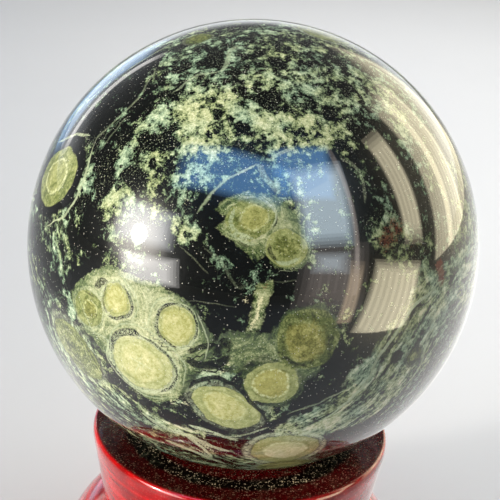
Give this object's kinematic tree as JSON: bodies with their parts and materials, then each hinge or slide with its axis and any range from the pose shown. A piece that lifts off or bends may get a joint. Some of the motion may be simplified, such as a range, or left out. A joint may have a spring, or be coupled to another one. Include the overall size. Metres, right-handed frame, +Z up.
{
  "type": "jasper sphere on a stand",
  "caption": "Polished green and black orbicular jasper sphere resting in the dished top of a turned, red lacquered stand.",
  "frame": {"origin": "centre of the stand's foot, on the surface it stands on", "axes": "+Z up along the stand's turning axis through the sphere's centre; -Y faces the viewer of the picture, +X to the viewer's right"},
  "size_m": [0.06, 0.06, 0.0855],
  "materials": {
    "jasper": "polished to a mirror gloss, black-green matrix with yellow-green eyes and pale green mottling",
    "red_lacquer": "turned wood under glossy dark red lacquer"
  },
  "bodies": {
    "root": {"sphere": "jasper", "stand": "red_lacquer"}
  },
  "joints": []
}
